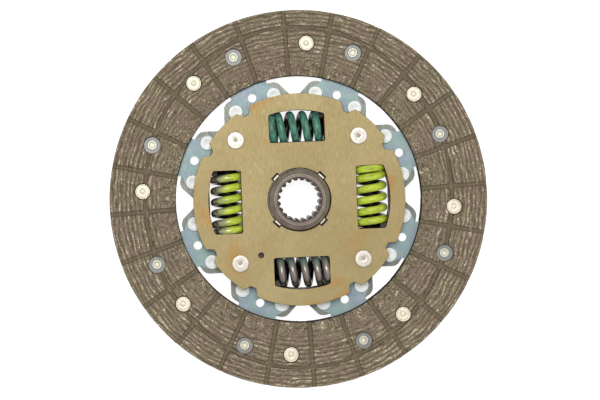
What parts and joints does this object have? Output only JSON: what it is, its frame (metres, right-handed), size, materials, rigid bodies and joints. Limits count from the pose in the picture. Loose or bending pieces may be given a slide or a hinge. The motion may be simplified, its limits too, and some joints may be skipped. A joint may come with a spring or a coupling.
{
  "type": "clutch disc",
  "caption": "Round clutch friction disc: two grooved facings on sprung segments, plates with coil damper springs and a splined hub.",
  "frame": {"origin": "on the hub's axis, midway between the two friction facings", "axes": "+Z along the axis, out of the side of the front plate; the long damper springs lie on X"},
  "size_m": [0.2, 0.2, 0.028],
  "materials": {
    "hub_steel": "dark forged steel, turned",
    "passivated_plate": "yellow passivated zinc, satin",
    "bare_plate": "bare pressed steel, satin",
    "blued_spring_steel": "tempered to blue, satin",
    "friction_facing": "woven friction lining, matt",
    "rivet_plating": "pale zinc plating, satin",
    "spring_lime": "lime paint, gloss",
    "spring_green": "dark green paint, gloss",
    "spring_half_lime": "oiled steel with lime paint on one side",
    "spring_black": "oiled spring steel, dark",
    "bush_plastic": "glass filled plastic, matt",
    "friction_ring": "friction material, matt"
  },
  "bodies": {
    "hub": {"hub": "hub_steel"},
    "disc": {"front_plate": "passivated_plate", "rear_plate": "bare_plate", "facing_front": "friction_facing", "facing_rear": "friction_facing", "facing_rivets_front": "rivet_plating", "facing_rivets_rear": "rivet_plating", "segment_rivets": "rivet_plating", "stop_pins": "rivet_plating", "friction_bush_rear": "bush_plastic", "friction_washer_front": "friction_ring", "thrust_plate": "bare_plate", "cone_spring": "spring_black", "cushion_segment_1": "blued_spring_steel", "cushion_segment_2": "blued_spring_steel", "cushion_segment_3": "blued_spring_steel", "cushion_segment_4": "blued_spring_steel", "cushion_segment_5": "blued_spring_steel", "cushion_segment_6": "blued_spring_steel", "cushion_segment_7": "blued_spring_steel", "cushion_segment_8": "blued_spring_steel"},
    "springs": {"damper_spring_right": "spring_lime", "damper_spring_top": "spring_green", "damper_spring_left": "spring_half_lime", "damper_spring_bottom": "spring_black"}
  },
  "joints": [
    {"name": "damper_twist", "type": "hinge", "parent": "hub", "child": "disc", "pos_m": [0, 0, 0], "axis": [0, 0, 1], "range_deg": [-9, 9], "stiffness_Nm_per_rad": 1200, "deforming": ["damper_spring_right", "damper_spring_top", "damper_spring_left", "damper_spring_bottom"]},
    {"name": "spring_float", "type": "hinge", "parent": "hub", "child": "springs", "pos_m": [0, 0, 0], "axis": [0, 0, 1], "range_deg": [-4.5, 4.5]}
  ],
  "couplings": [
    {"joint": "spring_float", "follows": "damper_twist", "ratio": 0.5}
  ]
}
